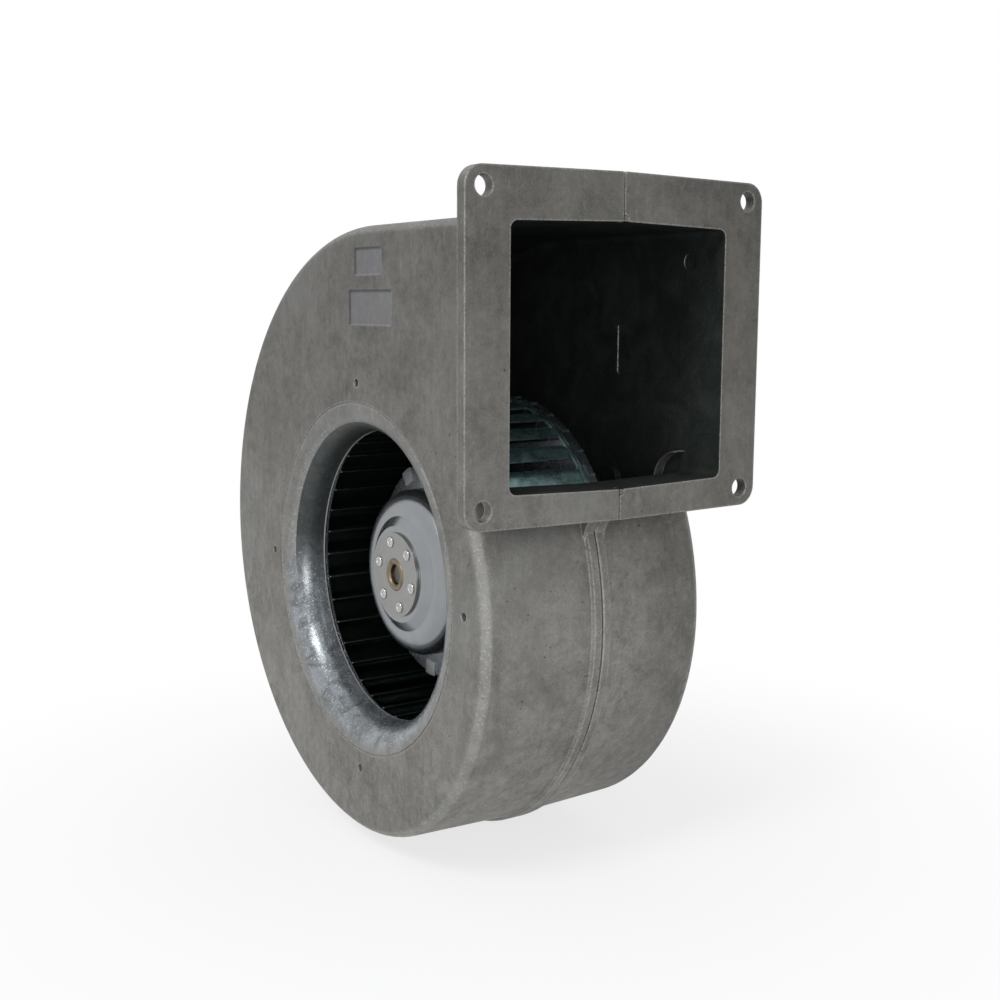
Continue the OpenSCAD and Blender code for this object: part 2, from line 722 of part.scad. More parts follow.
// ---------- motor ----------
module motor_flange() color(cast) difference() {
  union() {
    ring(motor_flange_r, pot_r - pot_wall, motor_face_x, flange_out_x);
    ring(pot_r, pot_r - pot_wall, pot_x, flange_out_x);
    ring(pot_r, bearing_r + fit, pot_x, pot_floor_x);
    ring(tube_r, bearing_r + fit, tube_x, front_seat_end_x);
    ring(tube_r, bearing_r - 1.5, front_seat_end_x, rear_seat_x);
    ring(tube_r, bearing_r + fit, rear_seat_x, pot_floor_x);
    for (i = [0 : 3])
      on_axis() rotate(45 + 90 * i) translate([cover_screw_r, 0, pot_floor_x - 1])
        linear_extrude(flange_out_x - pot_floor_x + 1) {
          circle(boss_r);
          translate([0, -boss_r]) square([pot_r - pot_wall / 2 - cover_screw_r, 2 * boss_r]);
        }
    pins(3, post_circle_r, 30, 3, pot_floor_x - 1, board_x - seat);
  }
  pins(4, cover_screw_r, 45, small_screw_r + fit, flange_out_x - 9, flange_out_x + 1);
  pins(3, post_circle_r, 30, small_screw_r + fit, pot_floor_x + 1, board_x);
  pins(4, motor_screw_circle_r, 45, 2.2, motor_face_x - 1, flange_out_x + 1);
  phase_pin_holes(1.6, pot_x - 1, pot_floor_x + 1);
}

module phase_pin_holes(r, x0, x1)
  for (a = [90, 105, 120])
    on_axis() rotate(a) translate([pin_circle_r, 0, x0]) cylinder(r = r, h = x1 - x0, $fn = 32);

// Lamination outline: yoke, teeth and their shoes
module tooth_star(in_r, tooth, tip_r, shoe) {
  difference() {
    circle(yoke_r);
    circle(in_r);
  }
  for (i = [0 : teeth - 1]) rotate(i * 360 / teeth) {
    translate([yoke_r - 1, -tooth / 2]) square([tip_r - shoe / 2 - yoke_r + 1, tooth]);
  }
  difference() {
    circle(tip_r);
    circle(tip_r - shoe);
    for (i = [0 : teeth - 1])
      rotate((i + 0.5) * 360 / teeth) translate([tip_r - 2 * shoe, -slot_open / 2]) square([3 * shoe, slot_open]);
  }
}

module stator_core() color(steel)
  on_axis() translate([0, 0, stator_x]) linear_extrude(stator_l)
    tooth_star(tube_r + fit, tooth_w, stator_r, shoe_t);

module insulator_plate(x)
  on_axis() translate([0, 0, x]) linear_extrude(insulator_t)
    tooth_star(tube_r + fit, tooth_w + 0.4, stator_r - 0.5, shoe_t - 0.5);

module front_insulator() color("ivory") {
  insulator_plate(stator_x - seat - insulator_t);
  ring(yoke_r - 0.6, tube_r + fit, stator_x - coil_head - insulator_t, stator_x - seat);
}

module rear_insulator() color("ivory") {
  insulator_plate(stator_end_x + seat);
  ring(yoke_r - 0.6, tube_r + fit, stator_end_x + seat, hall_x - seat);
}

module coils() color(copper) {
  in_l = stator_l + 2 * insulator_t + 0.3;
  out_l = in_l + 2 * coil_head;
  radial = stator_r - shoe_t - yoke_r - 1.2;
  for (i = [0 : teeth - 1])
    on_axis() rotate(i * 360 / teeth) translate([yoke_r + 0.4, 0, stator_x + stator_l / 2])
      rotate([0, 90, 0]) linear_extrude(radial) difference() {
        rounded_rect(out_l, tooth_w + 0.8 + 2 * coil_t, 3);
        rounded_rect(in_l, tooth_w + 0.8, 0.6);
      }
}

module hall_board() color(green) difference() {
  ring(hall_r, tube_r + 0.3, hall_x, hall_x + hall_t);
  phase_pin_holes(pin_r + 0.2, hall_x - 1, hall_x + 2);
}

module hall_sensors() color(dark)
  for (a = [0, 40, 80])
    on_axis() rotate(a - 160) translate([hall_r - 4, -2, hall_x - seat - 1.4]) cube([3.2, 4, 1.4]);

module phase_pins() color(copper)
  for (a = [90, 105, 120])
    on_axis() rotate(a) translate([pin_circle_r, 0, coil_end_x + 0.2])
      cylinder(r = pin_r, h = board_out_x + 1 - coil_end_x - 0.2, $fn = 24);

// ---------- electronics ----------
module main_board() color(green) difference() {
  disc(board_r, board_x, board_out_x);
  pins(3, post_circle_r, 30, small_screw_r + 0.2, board_x - 1, board_out_x + 1);
  phase_pin_holes(pin_r + 0.2, board_x - 1, board_out_x + 1);
}

module board_screws() color(zinc)
  around(3, post_circle_r, 30) translate([0, 0, board_out_x + seat])
    screw(small_screw_r, board_t + 5, board_head[0], board_head[1]);

module capacitors() color(dark)
  for (a = [195, 240])
    on_axis() rotate(a) translate([20, 0, board_out_x + seat]) difference() {
      cylinder(r = capacitor[0], h = capacitor[1], $fn = 48);
      translate([0, 0, capacitor[1] - 0.5]) for (b = [0, 90]) rotate(b) translate([-4, -0.3, 0]) cube([8, 0.6, 1]);
    }

module power_transistors() color(dark)
  for (i = [0 : 5])
    on_axis() rotate(16 + i * 25) translate([26.5, 0, board_out_x + seat + 1.15]) cube([6, 6.4, 2.3], center = true);

module board_connector() color("white")
  on_axis() rotate(310) translate([16, -7, board_out_x + seat]) difference() {
    cube([9, 14, 9]);
    translate([1, 1, 2]) cube([7, 12, 8]);
  }

module cover_gasket() color(dark)
  ring(cover_r - 0.4, pot_r - pot_wall + 0.3, flange_out_x + seat, flange_out_x + seat + gasket_t);

module motor_cover() color(cast) difference() {
  on_axis() rotate_extrude() polygon([
    [0, cover_x], [cover_r, cover_x], [cover_r, cover_out_x - 0.8], [cover_r - 0.8, cover_out_x], [0, cover_out_x]
  ]);
  pins(4, cover_screw_r, 45, small_screw_r + 0.2, cover_x - 1, cover_out_x + 1);
  on_axis() rotate(270) translate([grommet_circle_r, 0, cover_x - 1]) cylinder(r = grommet_r, h = cover_t + 2);
}

module cover_screws() color(zinc)
  around(4, cover_screw_r, 45) translate([0, 0, cover_out_x + seat])
    screw(small_screw_r, cover_out_x - flange_out_x + 7, cover_head[0], cover_head[1]);

module motor_screws() color(zinc)
  around(4, motor_screw_circle_r, 45) translate([0, 0, flange_out_x + seat])
    screw(2, motor_flange_t + 4, motor_head[0], motor_head[1]);

module lead_grommet() color(dark)
  on_axis() rotate(270) translate([grommet_circle_r, 0, 0]) rotate_extrude() polygon([
    [2.6, cover_x - 1.5], [grommet_r + 1.6, cover_x - 1.5], [grommet_r + 1.6, cover_x - seat],
    [grommet_r - fit, cover_x - seat], [grommet_r - fit, cover_out_x + seat],
    [grommet_r + 1.6, cover_out_x + seat], [grommet_r + 1, cover_out_x + 2.2], [2.6, cover_out_x + 2.2]
  ]);

housing_inlet_half();
housing_motor_half();
housing_screws();
impeller_blades();
blade_bands();
impeller_front_ring();
impeller_back_plate();
balance_clips();
rotor_cup();
rotor_magnet();
rotor_hub_plate();
hub_rivets();
shaft_bush();
rotor_shaft();
retaining_ring();
front_bearing_outer_ring();
front_bearing_inner_ring();
front_bearing_cage();
front_bearing_balls();
rear_bearing_outer_ring();
rear_bearing_inner_ring();
rear_bearing_cage();
rear_bearing_balls();
preload_washer();
motor_flange();
stator_core();
front_insulator();
rear_insulator();
coils();
hall_board();
hall_sensors();
phase_pins();
main_board();
capacitors();
power_transistors();
board_connector();
board_screws();
cover_gasket();
motor_cover();
cover_screws();
motor_screws();
lead_grommet();
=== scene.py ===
import math
import bmesh
import bpy
from mathutils import Matrix, Vector


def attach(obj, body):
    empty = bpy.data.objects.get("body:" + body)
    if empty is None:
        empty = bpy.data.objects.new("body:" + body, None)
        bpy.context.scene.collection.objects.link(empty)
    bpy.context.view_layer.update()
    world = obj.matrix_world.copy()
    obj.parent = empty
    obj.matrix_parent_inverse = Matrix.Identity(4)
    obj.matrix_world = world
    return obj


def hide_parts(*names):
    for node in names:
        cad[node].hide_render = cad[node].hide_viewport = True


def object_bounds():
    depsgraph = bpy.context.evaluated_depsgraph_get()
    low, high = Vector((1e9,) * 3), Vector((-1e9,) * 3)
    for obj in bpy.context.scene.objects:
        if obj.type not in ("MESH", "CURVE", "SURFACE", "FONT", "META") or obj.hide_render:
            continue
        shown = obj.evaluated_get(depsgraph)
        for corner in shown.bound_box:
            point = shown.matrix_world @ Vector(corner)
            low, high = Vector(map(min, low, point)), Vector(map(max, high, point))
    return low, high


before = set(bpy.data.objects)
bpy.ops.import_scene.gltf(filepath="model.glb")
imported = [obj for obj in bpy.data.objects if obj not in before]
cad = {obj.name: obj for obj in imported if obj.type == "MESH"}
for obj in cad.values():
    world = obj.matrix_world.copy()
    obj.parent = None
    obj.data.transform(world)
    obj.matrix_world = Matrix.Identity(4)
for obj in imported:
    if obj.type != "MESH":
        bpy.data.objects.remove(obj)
cad_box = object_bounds()

MM = 0.001
AXIS_Y, AXIS_Z = 0.1006, -0.0931
# the same axis in millimetres, for the finishes
AXIS_Y_MM, AXIS_Z_MM = AXIS_Y * 1000, AXIS_Z * 1000


# ---------- camera, light and floor ----------
def place_camera():
    lens = bpy.data.cameras.new("camera")
    camera = bpy.data.objects.new("camera", lens)
    bpy.context.scene.collection.objects.link(camera)
    lens.sensor_width = 36
    lens.lens = 48.36
    lens.clip_start, lens.clip_end = 0.01, 50
    az, el, roll = (math.radians(a) for a in (-34.098, 8.271, 0.2985))
    back = Vector((math.sin(az) * math.cos(el), -math.cos(az) * math.cos(el), math.sin(el)))
    right = Vector((math.cos(az), math.sin(az), 0))
    up = back.cross(right)
    right, up = (right * math.cos(roll) + up * math.sin(roll),
                 up * math.cos(roll) - right * math.sin(roll))
    turn = Matrix((right, up, back)).transposed().to_4x4()
    stand = (-0.2968, -0.3635, 0.0149)
    camera.matrix_world = Matrix.Translation(stand) @ turn
    bpy.context.scene.camera = camera


# ---------- node trees written as sums ----------
class Wire:
    """A value on its way through a node tree, used with Python's own arithmetic"""

    def __init__(self, tree, socket):
        self.tree, self.socket = tree, socket

    def _sum(self, kind, a, b):
        return self.tree.node("ShaderNodeMath", {"operation": kind}, {0: a, 1: b})

    def __add__(self, other):
        return self._sum("ADD", self, other)

    def __sub__(self, other):
        return self._sum("SUBTRACT", self, other)

    def __rsub__(self, other):
        return self._sum("SUBTRACT", other, self)

    def __mul__(self, other):
        return self._sum("MULTIPLY", self, other)

    def __truediv__(self, other):
        return self._sum("DIVIDE", self, other)

    def __pow__(self, other):
        return self._sum("POWER", self, other)

    def __lt__(self, other):
        return self._sum("LESS_THAN", self, other)

    def __gt__(self, other):
        return self._sum("GREATER_THAN", self, other)

    def __mod__(self, other):
        return self._sum("FLOORED_MODULO", self, other)

    def floor(self):
        return self.tree.node("ShaderNodeMath", {"operation": "FLOOR"}, {0: self})

    def size(self):
        return self.tree.node("ShaderNodeMath", {"operation": "ABSOLUTE"}, {0: self})

    def ramp(self, low, high, start=0.0, end=1.0):
        """Soft step from start to end while the value goes from low to high"""
        return self.tree.node(
            "ShaderNodeMapRange", {"interpolation_type": "SMOOTHSTEP"},
            {"Value": self, "From Min": low, "From Max": high, "To Min": start, "To Max": end})

    __radd__ = __add__
    __rmul__ = __mul__


class Tree:
    """Makes every kind of node: its settings first, then values or wires for its sockets"""

    def node(self, kind, settings=None, sockets=None, out=0):
        made = self.nodes.new(kind)
        for name, value in (settings or {}).items():
            setattr(made, name, value)
        for name, value in (sockets or {}).items():
            if isinstance(value, Wire):
                self.links.new(value.socket, made.inputs[name])
            elif value is not None:
                made.inputs[name].default_value = value
        return Wire(self, made.outputs[out])


class Finish(Tree):
    """A material with one shader; what varies is given as wires, what doesn't as numbers"""

    def __init__(self, name):
        self.material = bpy.data.materials.new(name)
        self.material.use_nodes = True
        tree = self.material.node_tree
        tree.nodes.clear()
        self.nodes, self.links = tree.nodes, tree.links
        self.place = self.node("ShaderNodeVectorMath", {"operation": "SCALE"}, {
            0: self.node("ShaderNodeTexCoord", out="Object"), "Scale": 1000.0})

    def split(self, vector):
        return [self.node("ShaderNodeSeparateXYZ", sockets={0: vector}, out=i) for i in range(3)]

    def join(self, x, y, z):
        return self.node("ShaderNodeCombineXYZ", sockets={0: x, 1: y, 2: z})

    def noise(self, per_mm, detail=2.0, rough=0.5, at=None, warp=0.0):
        return self.node("ShaderNodeTexNoise", {"noise_dimensions": "3D"}, {
            "Vector": at or self.place, "Scale": per_mm, "Detail": detail,
            "Roughness": rough, "Distortion": warp})

    def stretched(self, x, y, z):
        return self.node("ShaderNodeVectorMath", {"operation": "MULTIPLY"}, {
            0: self.place, 1: (x, y, z)})

    def blend(self, share, a, b, kind="MIX"):
        """Colour a, and colour b where share is 1"""
        made = self.nodes.new("ShaderNodeMix")
        made.data_type, made.blend_type = "RGBA", kind
        for i, value in ((0, share), (6, a), (7, b)):
            if isinstance(value, Wire):
                self.links.new(value.socket, made.inputs[i])
            else:
                made.inputs[i].default_value = value if i == 0 else (*value, 1)
        return Wire(self, made.outputs[2])

    def about_axis(self):
        """Distance from the fan axis and place along it, in millimetres"""
        x, y, z = self.split(self.place)
        y, z = y - AXIS_Y_MM, z - AXIS_Z_MM
        return x, y, z, (y * y + z * z) ** 0.5

    def edges(self, radius_mm, low=0.01, high=0.12):
        """1 along edges, worn bright by handling"""
        bent = self.node("ShaderNodeBevel", {"samples": 4}, {"Radius": radius_mm * MM})
        true = self.node("ShaderNodeNewGeometry", out="Normal")
        match = self.node("ShaderNodeVectorMath", {"operation": "DOT_PRODUCT"}, {
            0: bent, 1: true}, out="Value")
        return (1 - match).ramp(low, high)

    def done(self, base, rough, metallic, bump=None, height_mm=0.05, round_mm=0.0, **fixed):
        shader = self.nodes.new("ShaderNodeBsdfPrincipled")
        for name, value in {"Base Color": base, "Roughness": rough, "Metallic": metallic, **fixed}.items():
            socket = shader.inputs[name.replace("_", " ")]
            if isinstance(value, Wire):
                self.links.new(value.socket, socket)
            else:
                socket.default_value = (*value, 1) if isinstance(value, tuple) else value
        normal = None
        if round_mm:
            normal = self.node("ShaderNodeBevel", {"samples": 4}, {"Radius": round_mm * MM})
        if bump:
            normal = self.node("ShaderNodeBump", sockets={
                "Height": bump, "Distance": height_mm * MM, "Strength": 1.0, "Normal": normal})
        if normal:
            self.links.new(normal.socket, shader.inputs["Normal"])
        out = self.nodes.new("ShaderNodeOutputMaterial")
        self.links.new(shader.outputs[0], out.inputs[0])
        return self.material


# ---------- finishes ----------
def cast_aluminium(name, nozzle=False, shade=1.0):
    """Die-cast skin: mottled grey with flow marks, cold-run stains, small pits and edges rubbed bright"""
    f = Finish(name)
    x, y, z, radius = f.about_axis()
    normal = f.node("ShaderNodeTexCoord", out="Normal")
    nx, ny, _ = f.split(normal)
    # limits measured from the fan axis: back of the flange, inner side of the walls, duct and tongue
    flange_back = 5.0 - AXIS_Y_MM
    wall_inside = 47.6
    duct_top, duct_floor = 43.6 - AXIS_Z_MM, -49.6 - AXIS_Z_MM
    tongue_back, tongue_top = 26.0 - AXIS_Y_MM, -44.0 - AXIS_Z_MM
    motor_room = 80.0

    mottle = f.noise(0.06, 4.0, 0.62, warp=0.9)
    cloud = f.noise(0.017, 2.0, 0.5, warp=0.4)
    blotch = f.noise(0.30, 3.0, 0.6, warp=0.6)
    speck = f.noise(1.1, 3.0, 0.65)
    streak = f.noise(1.0, 3.0, 0.6, at=f.stretched(0.42, 0.42, 0.045))
    stain = f.noise(0.03, 4.0, 0.7, at=f.stretched(1.0, 1.3, 0.7), warp=1.2)
    spots = f.noise(0.42, 2.0, 0.6)
    pits = spots.ramp(0.70, 0.76) * cloud.ramp(0.45, 0.58)
    dots = f.noise(0.85, 2.0, 0.7, warp=0.5).ramp(0.66, 0.73) * blotch.ramp(0.45, 0.6)
    grain = f.noise(2.6, 2.0, 0.6)
    scratch = f.noise(1.0, 2.0, 0.7, at=f.stretched(1.6, 1.6, 0.12), warp=0.3)
    scratch = scratch.ramp(0.66, 0.72)

    # painted light and shade: lighter towards the bottom, darker towards the top, the far end of the
    # flange and the right of the curved wall
    height = z.ramp(-100.0, 150.0, 1.36, 0.80)
    flange = (y < flange_back) * x.ramp(0.0, 62.0, 0.0, 0.20)
    curve = (x.size() < 49.5) * z.ramp(15.0, 35.0, 1.0, 0.0)
    painted_side_shade = curve * x.ramp(5.0, 55.0, -0.13, 0.36)
    level = (0.75 + (mottle - 0.5) * 0.80 + (cloud - 0.5) * 0.45 + (blotch - 0.5) * 0.40
             + (speck - 0.5) * 0.80 + (streak - 0.5) * 0.30) * (height - flange - painted_side_shade)
    metal_grey = (0.212 * shade, 0.208 * shade, 0.192 * shade)
    colour = f.blend(1.0, metal_grey, f.join(level, level, level), "MULTIPLY")
    warmth = f.noise(0.22, 3.0, 0.6, warp=0.5).ramp(0.38, 0.66)
    colour = f.blend(warmth, colour, (1.02, 0.992, 0.998), "MULTIPLY")
    colour = f.blend(stain.ramp(0.52, 0.72) * 0.5, colour, (0.160, 0.142, 0.122))
    colour = f.blend(cloud.ramp(0.55, 0.75) * 0.3, colour, (0.190, 0.200, 0.198))
    worn = f.edges(1.1) * speck.ramp(0.28, 0.60)
    colour = f.blend(worn * 0.75, colour, (0.46, 0.455, 0.43))
    # the roundings along the sides carry a painted highlight, broken into bright flecks
    turned = nx.size().ramp(0.18, 0.40) * nx.size().ramp(0.80, 0.97, 1.0, 0.0)
    colour = f.blend(turned * (0.22 + speck.ramp(0.56, 0.66) * 0.5), colour, (0.44, 0.445, 0.43))
    colour = f.blend(scratch * 0.30, colour, (0.36, 0.355, 0.34))
    colour = f.blend(pits * 0.8, colour, (0.050, 0.047, 0.043))
    colour = f.blend(dots * 0.55, colour, (0.075, 0.070, 0.062))
    # dirt drawn into the joint of the two halves
    joint = x.size().ramp(0.12, 0.42, 0.85, 0.0) * blotch.ramp(0.30, 0.55, 0.5, 1.0)
    colour = f.blend(joint, colour, (0.030, 0.028, 0.026))

    # painted shade: the hollow side of the walls, the duct and behind the tongue are painted near black
    reach = f.node("ShaderNodeVectorMath", {"operation": "NORMALIZE"}, {0: f.join(0.0, y, z)})
    facing = f.node("ShaderNodeVectorMath", {"operation": "DOT_PRODUCT"}, {
        0: normal, 1: reach}, out="Value")
    side = x.ramp(-1.0, 1.0, -1.0, 1.0)
    within = x.size() < wall_inside
    behind = y > flange_back
    inner = f.node("ShaderNodeMath", {"operation": "MAXIMUM"}, {
        0: (0 - facing) > 0.3, 1: (0 - nx * side) > 0.5})
    # the screw bosses around the motor stand inside too, whichever way they face
    inner = inner + (radius < motor_room) * (x > 0.0) > 0.5
    duct = ((ny.size() < 0.5) + behind > 0.5) * (z < duct_top) * (z > duct_floor)
    near = (y > tongue_back) + (z > tongue_top) > 0.5
    hollow = within * (behind * near * inner + (1 - behind * near) * duct)
    hollow = hollow.ramp(0.4, 0.6)
    painted_inside_shade = f.blend(mottle.ramp(0.35, 0.7), (0.009, 0.014, 0.011), (0.024, 0.030, 0.027))
    painted_inside_shade = f.blend(worn * 0.25, painted_inside_shade, (0.060, 0.066, 0.062))
    colour = f.blend(hollow * 0.97, colour, painted_inside_shade)

    rough = (0.58 + (speck - 0.5) * 0.30 - worn * 0.15
             + stain.ramp(0.5, 0.8) * 0.08 - (blotch - 0.5) * 0.2)
    metal = 0.55 - hollow * 0.3
    bump = grain * 0.35 + speck * 0.8 + streak * 0.45 + blotch * 0.5 - pits * 1.8 - scratch * 0.3
    if nozzle:
        # nozzle skin, pressed tight against the die: smooth and bluish, with a painted sheen and painted
        # bright flecks of highlight on its lower part
        swirl = f.noise(1.0, 3.0, 0.6, at=f.join(radius * 1.2, x * 1.2, 0.0))
        bell = radius.ramp(69.6, 71.2, 1.0, 0.0) * x.ramp(-36.0, -34.0, 1.0, 0.0)
        patch = f.noise(0.12, 4.0, 0.65, warp=1.2)
        skin_and_painted_sheen = f.blend(patch.ramp(0.3, 0.7), (0.300, 0.325, 0.345), (0.120, 0.132, 0.142))
        skin_and_painted_sheen = f.blend(speck.ramp(0.57, 0.70) * 0.8, skin_and_painted_sheen, (0.66, 0.67, 0.68))
        below = ((0 - z) / radius).ramp(-0.20, 0.30) * radius.ramp(64.5, 69.0, 1.0, 0.10)
        colour = f.blend(bell * (0.12 + below * 0.88), colour, skin_and_painted_sheen)
        # painted shade on the top of the bell near the throat
        painted_top_shade = bell * z.ramp(38.0, 60.0) * radius.ramp(58.5, 66.0, 0.38, 0.0)
        colour = f.blend(painted_top_shade, colour, (0.06, 0.063, 0.06))
        pressed = 0.42 - below * 0.17 + (patch - 0.5) * 0.35 + (speck - 0.5) * 0.45
        rough = rough * (1 - bell) + bell * pressed
        metal = metal * (1 - bell) + bell * (0.30 + below * 0.25)
        bump = bump * (1 - bell * 0.45) + swirl * bell * 0.2 + patch * bell * 1.2
        # two sunk plates on the side, bluish, with painted shadow under their upper and rear edges
        small_plate, large_plate = (-10.0, 124.1, 10.5, 5.0), (-11.3, 106.7, 16.5, 6.5)
        for middle_y, middle_z, half_y, half_z in (small_plate, large_plate):
            across, up = y - middle_y, z - middle_z
            sunk = (across.size() < half_y + 0.4) * (up.size() < half_z + 0.4) * (x < -49.0)
            above = up.ramp(half_z - 1.3, half_z - 0.3)
            beside = across.ramp(half_y - 1.4, half_y - 0.3)
            rim = 1 - (1 - above) * (1 - beside)
            colour = f.blend(sunk * 0.45, colour, (0.215, 0.222, 0.245))
            colour = f.blend(sunk * rim * 0.75, colour, (0.060, 0.060, 0.062))
        # painted highlight: a thin bright line along the lip of the throat
        lip = radius.ramp(58.9, 59.3, 1.0, 0.0) * x.ramp(-36.3, -35.9)
        colour = f.blend(lip * 0.85, colour, (0.80, 0.80, 0.78))
    return f.done(colour, rough, metal, bump=bump, height_mm=0.13, round_mm=0.8)


def sheet_metal(name, colour, dull, rough=0.34, metal=0.92, spangle=0.10, lines=0.3):
    """Coated or plated sheet with faint crystals, drawing lines and finger-dulled patches"""
    f = Finish(name)
    x, _, _, radius = f.about_axis()
    crystal = f.node("ShaderNodeTexVoronoi", {"feature": "F1"}, {
        "Vector": f.place, "Scale": 0.35}, out="Color")
    tint = f.node("ShaderNodeSeparateColor", sockets={0: crystal})
    patch = f.noise(0.05, 3.0, 0.6, warp=0.6)
    fine = f.noise(1.4, 3.0, 0.6)
    rings = f.noise(1.0, 2.0, 0.6, at=f.join(radius * 2.4, x * 2.4, 0.0))
    level = (0.94 + (tint - 0.5) * spangle + (patch - 0.5) * 0.34
             + (fine - 0.5) * 0.14 + (rings - 0.5) * 0.12)
    base = f.blend(1.0, colour, f.join(level, level, level), "MULTIPLY")
    base = f.blend(patch.ramp(0.52, 0.75) * 0.5, base, dull)
    base = f.blend(f.edges(0.5) * 0.5, base, tuple(min(1.0, c * 1.5) for c in colour))
    shine = rough + (patch - 0.5) * 0.22 + (fine - 0.5) * 0.12
    return f.done(base, shine, metal, bump=rings * lines + fine * 0.5,
                  height_mm=0.03, round_mm=0.25)


def blade_sheet(name):
    """Zinc-coated blade strip: teal and streaked outside, painted shade inside the wheel, painted light
    along the inner edges and front ends, bright at the sheared ends
    """
    f = Finish(name)
    x, y, z, radius = f.about_axis()
    patch = f.noise(0.16, 3.0, 0.6, warp=0.8)
    fine = f.noise(1.6, 3.0, 0.6)
    brushed = f.noise(1.0, 3.0, 0.6, at=f.stretched(0.10, 1.6, 1.6))
    level = 0.90 + (patch - 0.5) * 0.9 + (brushed - 0.5) * 0.5 + (fine - 0.5) * 0.25
    base = f.blend(1.0, (0.34, 0.54, 0.54), f.join(level, level, level), "MULTIPLY")
    base = f.blend(patch.ramp(0.55, 0.72) * 0.55, base, (0.58, 0.68, 0.74))
    reach = f.node("ShaderNodeVectorMath", {"operation": "NORMALIZE"}, {0: f.join(0.0, y, z)})
    facing = f.node("ShaderNodeVectorMath", {"operation": "DOT_PRODUCT"}, {
        0: f.node("ShaderNodeTexCoord", out="Normal"), 1: reach}, out="Value")
    # painted shade inside the wheel: near black on the inner part and on faces turned inwards
    painted_inner_shade = f.node("ShaderNodeMath", {"operation": "MAXIMUM"}, {
        0: radius.ramp(60.5, 63.5, 1.0, 0.0), 1: facing.ramp(-0.25, 0.15, 1.0, 0.0)})
    base = f.blend(painted_inner_shade * 0.985, base, (0.030, 0.042, 0.035))
    sheared = f.edges(0.3) * fine.ramp(0.35, 0.6)
    base = f.blend(sheared * (0.7 - painted_inner_shade * 0.45), base, (0.45, 0.50, 0.50))
    shine = 0.30 + (patch - 0.5) * 0.25 + (fine - 0.5) * 0.15 + painted_inner_shade * 0.15
    # painted highlights: light lines along the blades' inner edges and bright spots at their front ends
    painted_edge_light = radius.ramp(59.75, 60.3, 0.55, 0.0) * fine.ramp(0.3, 0.6)
    base = f.blend(painted_edge_light, base, (0.17, 0.21, 0.21))
    painted_end_highlight = radius.ramp(60.4, 61.2, 1.0, 0.0) * x.ramp(-32.8, -32.3, 0.8, 0.0)
    base = f.blend(painted_end_highlight, base, (0.70, 0.74, 0.74))
    return f.done(base, shine, 0.92 + painted_inner_shade * 0.08, bump=brushed * 0.6 + fine * 0.4 + patch,
                  height_mm=0.05, round_mm=0.2)


def turned_metal(name, colour, rough=0.28, marks=0.4, tarnish=(0.16, 0.13, 0.10), aged=0.2):
    """Turned or ground part: fine rings about the fan axis and a little tarnish"""
    f = Finish(name)
    x, _, _, radius = f.about_axis()
    rings = f.noise(1.0, 2.0, 0.7, at=f.join(radius * 6.0, x * 6.0, 0.0))
    patch = f.noise(0.25, 3.0, 0.6)
    level = 0.92 + (rings - 0.5) * 0.25 + (patch - 0.5) * 0.3
    base = f.blend(1.0, colour, f.join(level, level, level), "MULTIPLY")
    base = f.blend(patch.ramp(0.5, 0.8) * aged, base, tarnish)
    return f.done(base, rough + (patch - 0.5) * 0.2, 1.0, bump=rings * marks,
                  height_mm=0.02, round_mm=0.15)


def moulded(name, colour, rough=0.5, texture=0.5):
    """Moulded plastic or rubber with a fine sparked texture and patches of dust"""
    f = Finish(name)
    patch = f.noise(0.12, 3.0, 0.6)
    fine = f.noise(3.0, 2.0, 0.6)
    level = 0.95 + (patch - 0.5) * 0.3 + (fine - 0.5) * 0.15
    base = f.blend(1.0, colour, f.join(level, level, level), "MULTIPLY")
    base = f.blend(patch.ramp(0.5, 0.85) * 0.15, base, (0.30, 0.29, 0.27))
    return f.done(base, rough + (fine - 0.5) * 0.2, 0.0, bump=fine * texture,
                  height_mm=0.03, round_mm=0.2)


def board_laminate(name):
    """Circuit board: green varnish over copper tracks, tinned pads"""
    f = Finish(name)
    _, y, z = f.split(f.place)
    along, up = ((v * 0.5).floor() * 2.0 + v * 0.12 for v in (y, z))
    cells = f.node("ShaderNodeTexVoronoi", {"feature": "DISTANCE_TO_EDGE"}, {
        "Vector": f.join(along, up, 0.0), "Scale": 0.16})
    tracks = cells.ramp(0.05, 0.09)
    pads = f.node("ShaderNodeTexVoronoi", {"feature": "F1"}, {
        "Vector": f.join(y, z, 0.0), "Scale": 0.22, "Randomness": 0.7})
    pad = pads.ramp(0.13, 0.15, 1.0, 0.0)
    weave = f.noise(2.0, 2.0, 0.5)
    base = f.blend(tracks, (0.010, 0.085, 0.045), (0.014, 0.15, 0.070))
    base = f.blend(pad, base, (0.62, 0.62, 0.60))
    base = f.blend((weave - 0.5).size() * 0.3, base, (0.05, 0.16, 0.09))
    return f.done(base, 0.32 + pad * 0.06 + (weave - 0.5) * 0.1, pad * 0.9,
                  bump=tracks * 0.5 + pad + weave * 0.2, height_mm=0.05, round_mm=0.1)


def stacked_sheets(name):
    """Punched laminations: thin dark lines between the sheets"""
    f = Finish(name)
    x, _, _ = f.split(f.place)
    line = ((x * 2.0) % 1.0 - 0.5).size().ramp(0.34, 0.48)
    rust = f.noise(0.2, 4.0, 0.7)
    base = f.blend(line * 0.7, (0.26, 0.26, 0.27), (0.05, 0.05, 0.055))
    base = f.blend(rust.ramp(0.6, 0.8) * 0.4, base, (0.20, 0.12, 0.07))
    return f.done(base, 0.45 + line * 0.2, 0.8, bump=0 - line + rust * 0.2,
                  height_mm=0.08, round_mm=0.1)


def enamelled_wire(name):
    """Copper winding under clear enamel"""
    f = Finish(name)
    tone = f.noise(0.5, 2.0, 0.5)
    fine = f.noise(2.5, 2.0, 0.6)
    base = f.blend(tone.ramp(0.3, 0.7), (0.52, 0.19, 0.055), (0.36, 0.105, 0.03))
    return f.done(base, 0.28 + (fine - 0.5) * 0.2, 0.65, bump=fine, height_mm=0.01,
                  Coat_Weight=0.5)


